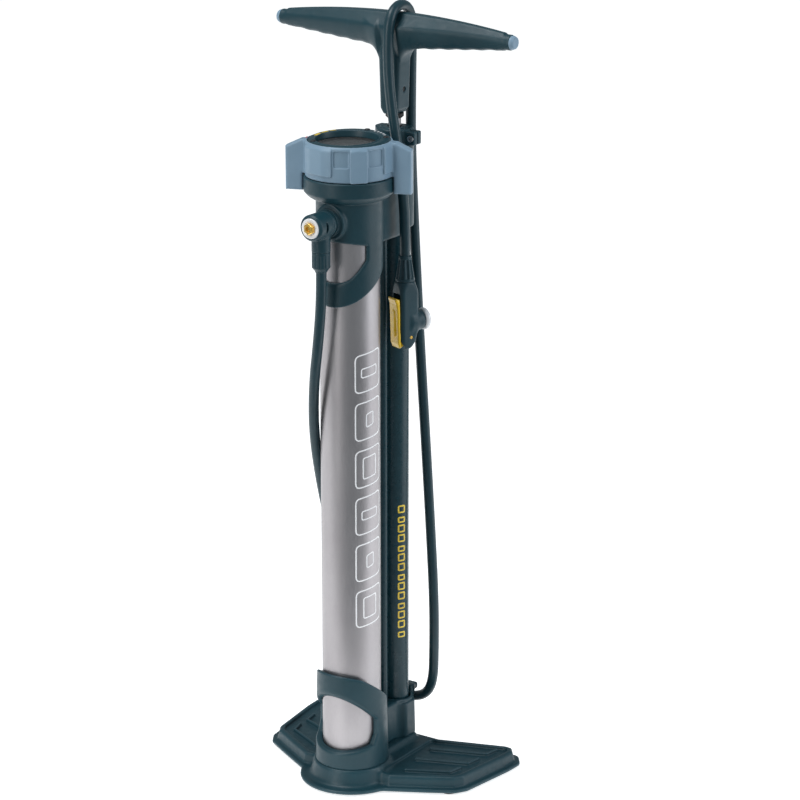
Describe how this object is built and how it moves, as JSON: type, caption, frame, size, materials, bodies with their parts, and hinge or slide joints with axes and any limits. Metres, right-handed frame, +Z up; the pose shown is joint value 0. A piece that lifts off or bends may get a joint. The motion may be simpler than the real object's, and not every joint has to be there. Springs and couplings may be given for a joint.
{
  "type": "floor bike pump",
  "caption": "Floor bike pump with a dark moulded foot, a silver air tank beside the barrel, a selector ring round a top gauge, a T handle and a hose with a lever head.",
  "frame": {"origin": "the point on the floor under the air tank's axis", "axes": "+Z up along the tank, -Y towards the hose swivel, +Y towards the pumping barrel, +X towards the side where the hose comes back up"},
  "size_m": [0.264, 0.1868, 0.7511],
  "materials": {
    "dark_plastic": "moulded, dark teal, fine grain",
    "ring_plastic": "moulded, blue-grey, satin",
    "tank_metal": "satin anodised",
    "black_plastic": "matt",
    "barrel_metal": "satin dark teal",
    "steel": "zinc plated",
    "black_metal": "blackened steel",
    "rod_chrome": "polished",
    "bare_aluminium": "turned",
    "brass": "satin",
    "rubber": "matt",
    "hose_rubber": "satin",
    "white_plastic": "gloss",
    "yellow_plastic": "gloss",
    "needle_red": "matt",
    "lens_clear": "clear"
  },
  "bodies": {
    "pump_body": {"air_pipe": "bare_aluminium", "barrel_cap": "dark_plastic", "barrel_foot": "bare_aluminium", "barrel_seals": "rubber", "barrel_tube": "barrel_metal", "base_feet": "rubber", "base_plate": "dark_plastic", "base_screws": "steel", "bourdon_tube": "brass", "check_spring": "steel", "chuck_gasket": "rubber", "clamp_screw": "steel", "gauge_bezel": "dark_plastic", "gauge_case": "black_plastic", "gauge_dial": "white_plastic", "gauge_lens": "lens_clear", "head_body": "dark_plastic", "head_nut": "dark_plastic", "hose_back_run": "hose_rubber", "hose_ferrule": "dark_plastic", "hose_front_run": "hose_rubber", "hose_head_run": "hose_rubber", "hose_low_bend": "hose_rubber", "hose_over_bar": "hose_rubber", "lever_pin": "brass", "lower_housing": "dark_plastic", "movement_frame": "brass", "nozzle_collar": "white_plastic", "pipe_seals": "rubber", "port_seals": "rubber", "rod_bush": "black_plastic", "swivel_body": "dark_plastic", "swivel_bolt": "brass", "swivel_ring": "white_plastic", "swivel_seals": "rubber", "tank_bottom_plug": "bare_aluminium", "tank_seals": "rubber", "tank_top_plug": "bare_aluminium", "tank_tube": "tank_metal", "upper_housing": "dark_plastic"},
    "handle": {"handle_bar": "dark_plastic", "handle_end_caps": "ring_plastic", "piston_rod": "rod_chrome", "handle_bolt": "black_metal", "rod_bumper": "rubber", "piston": "black_plastic", "piston_seal": "rubber", "piston_nut": "steel"},
    "selector": {"selector_ring": "ring_plastic", "selector_rotor": "black_plastic"},
    "needle": {"gauge_needle": "needle_red", "needle_pinion": "brass"},
    "sector": {"sector_gear": "brass"},
    "lever": {"head_lever": "yellow_plastic"},
    "plunger": {"chuck_plunger": "white_plastic"},
    "check": {"check_ball": "steel"}
  },
  "joints": [
    {"name": "handle_slide", "type": "slide", "parent": "pump_body", "child": "handle", "axis": [0, 0, 1], "range_m": [0, 0.5], "deforming": ["hose_over_bar"]},
    {"name": "selector_turn", "type": "hinge", "parent": "pump_body", "child": "selector", "pos_m": [0, 0, 0.6], "axis": [0, 0, 1], "range_deg": [-45, 0]},
    {"name": "lever_hinge", "type": "hinge", "parent": "pump_body", "child": "lever", "pos_m": [0.02645, 0.05431, 0.438], "axis": [0.9272, -0.3746, 0], "range_deg": [0, 28]},
    {"name": "plunger_slide", "type": "slide", "parent": "pump_body", "child": "plunger", "axis": [0.3746, 0.9272, 0], "range_m": [0, 0.001]},
    {"name": "needle_turn", "type": "hinge", "parent": "pump_body", "child": "needle", "pos_m": [0, 0, 0.62], "axis": [0, 0, 1], "range_deg": [-225, 0]},
    {"name": "sector_turn", "type": "hinge", "parent": "pump_body", "child": "sector", "pos_m": [-0.0166, 0, 0.61], "axis": [0, 0, 1], "range_deg": [0, 50]},
    {"name": "check_valve", "type": "slide", "parent": "pump_body", "child": "check", "axis": [0, 0, -1], "range_m": [0, 0.0015], "stiffness_N_per_m": 80, "springref_m": -0.002, "deforming": ["check_spring"]}
  ],
  "couplings": [
    {"joint": "plunger_slide", "follows": "lever_hinge", "m_per_rad": 0.002},
    {"joint": "sector_turn", "follows": "needle_turn", "ratio": -0.22222}
  ]
}
